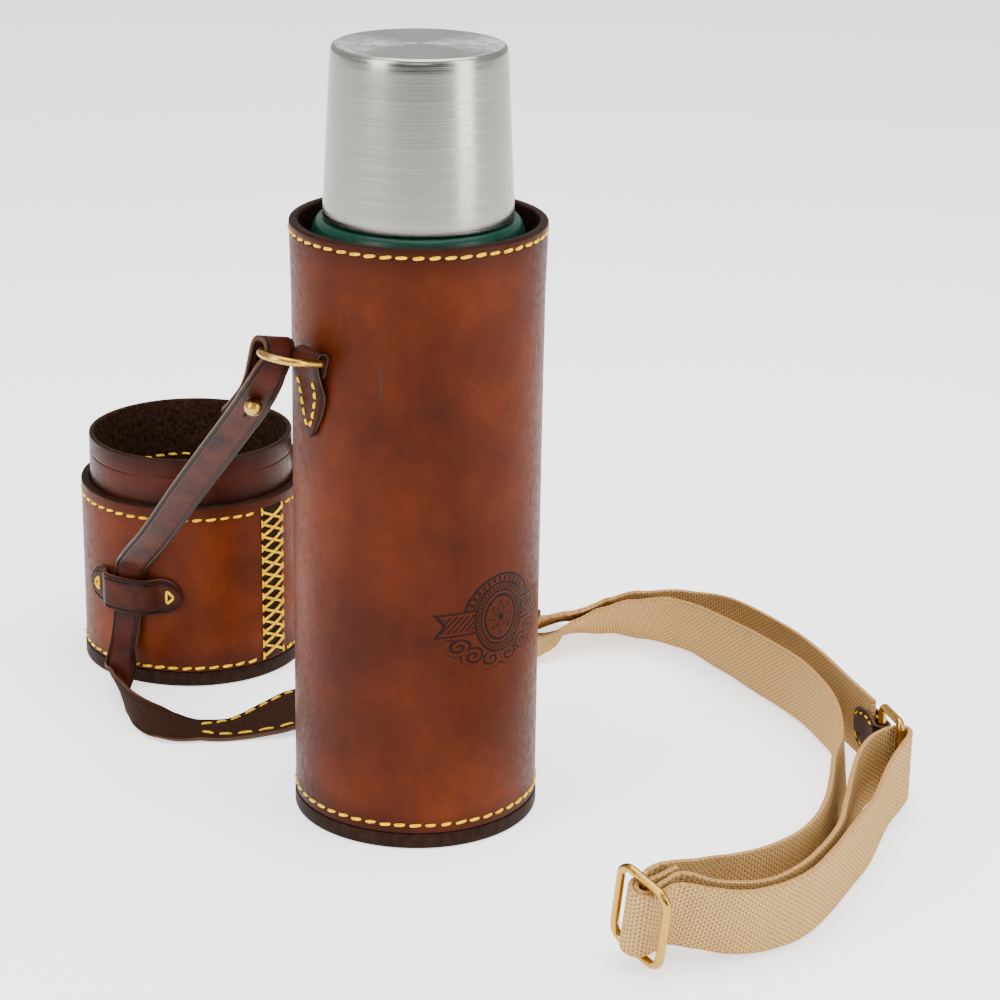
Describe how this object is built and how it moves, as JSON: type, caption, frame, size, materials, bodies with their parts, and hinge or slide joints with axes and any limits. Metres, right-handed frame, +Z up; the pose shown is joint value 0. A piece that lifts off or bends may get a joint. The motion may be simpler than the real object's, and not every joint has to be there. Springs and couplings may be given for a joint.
{
  "type": "canteen",
  "caption": "Vacuum flask canteen in a stitched leather case, with a steel cup, a separate leather lid and an adjustable leather and canvas shoulder strap.",
  "frame": {"origin": "centre of the case's base, on the ground", "axes": "+Z up along the case and flask, -Y to the front, +X towards the canvas strap"},
  "size_m": [0.3809, 0.4132, 0.333],
  "materials": {
    "case_leather": "waxed chestnut, mottled",
    "dark_leather": "waxed dark brown with burnished edges",
    "waxed_thread": "waxed yellow thread",
    "suede_lining": "rough flesh side, near black",
    "brushed_steel": "brushed round the axis",
    "green_enamel": "satin dark green",
    "dark_plastic": "satin",
    "seal_rubber": "matte",
    "satin_brass": "satin",
    "cotton_canvas": "ribbed plain weave"
  },
  "bodies": {
    "case": {"case_wall": "case_leather", "case_sole": "dark_leather", "case_floor_pad": "suede_lining", "case_base_thread": "waxed_thread", "case_top_thread": "waxed_thread", "case_seam_lacing": "waxed_thread", "ring_tab_front": "dark_leather", "ring_tab_back": "dark_leather", "billet_front": "dark_leather", "billet_back": "dark_leather", "stud_front": "satin_brass", "stud_back": "satin_brass", "webbing_long": "cotton_canvas", "webbing_short": "cotton_canvas", "webbing_chape": "dark_leather"},
    "lid": {"lid_wall": "case_leather", "lid_sole": "dark_leather", "lid_sleeve": "case_leather", "lid_lining_disc": "suede_lining", "lid_base_thread": "waxed_thread", "lid_top_thread": "waxed_thread", "lid_seam_lacing": "waxed_thread", "keeper_front": "dark_leather", "keeper_back": "dark_leather"},
    "flask": {"flask_shell": "green_enamel", "flask_inner_vessel": "brushed_steel", "flask_base_cap": "dark_plastic", "neck_collar": "dark_plastic"},
    "stopper": {"stopper_body": "dark_plastic", "stopper_gasket": "seal_rubber", "stopper_grip": "dark_plastic"},
    "cup": {"cup_shell": "brushed_steel", "cup_lining": "dark_plastic"},
    "ring_front_body": {"ring_front": "satin_brass"},
    "ring_back_body": {"ring_back": "satin_brass"},
    "slide_body": {"strap_slide": "satin_brass"},
    "loop_ring_body": {"loop_ring": "satin_brass"}
  },
  "joints": [
    {"name": "flask_lift", "type": "slide", "parent": "case", "child": "flask", "axis": [0, 0, 1], "range_m": [0, 0.26]},
    {"name": "stopper_turn", "type": "hinge", "parent": "flask", "child": "stopper", "pos_m": [0, 0, 0.3], "axis": [0, 0, 1], "range_deg": [0, 180]},
    {"name": "cup_lift", "type": "slide", "parent": "flask", "child": "cup", "axis": [0, 0, 1], "range_m": [0, 0.1]},
    {"name": "lid_lift", "type": "slide", "parent": "case", "child": "lid", "axis": [0, 0, 1], "range_m": [0, 0.08], "deforming": ["billet_front", "billet_back"]},
    {"name": "ring_front_swing", "type": "hinge", "parent": "case", "child": "ring_front_body", "pos_m": [-0.0448, -0.0363, 0.212], "axis": [-0.6298, 0.7768, 0], "range_deg": [-30, 20], "deforming": ["billet_front"]},
    {"name": "ring_back_swing", "type": "hinge", "parent": "case", "child": "ring_back_body", "pos_m": [0.0408, 0.0408, 0.212], "axis": [0.7071, -0.7071, 0], "range_deg": [0, 35], "deforming": ["billet_back"]},
    {"name": "slide_travel", "type": "slide", "parent": "case", "child": "slide_body", "axis": [0.7844, 0.6095, 0.1156], "range_m": [-0.008, 0.008], "deforming": ["webbing_long"]},
    {"name": "loop_ring_swivel", "type": "hinge", "parent": "case", "child": "loop_ring_body", "pos_m": [0.2066, 0.0104, 0.02], "axis": [0, 0, 1], "range_deg": [-10, 10], "deforming": ["webbing_long"]}
  ]
}
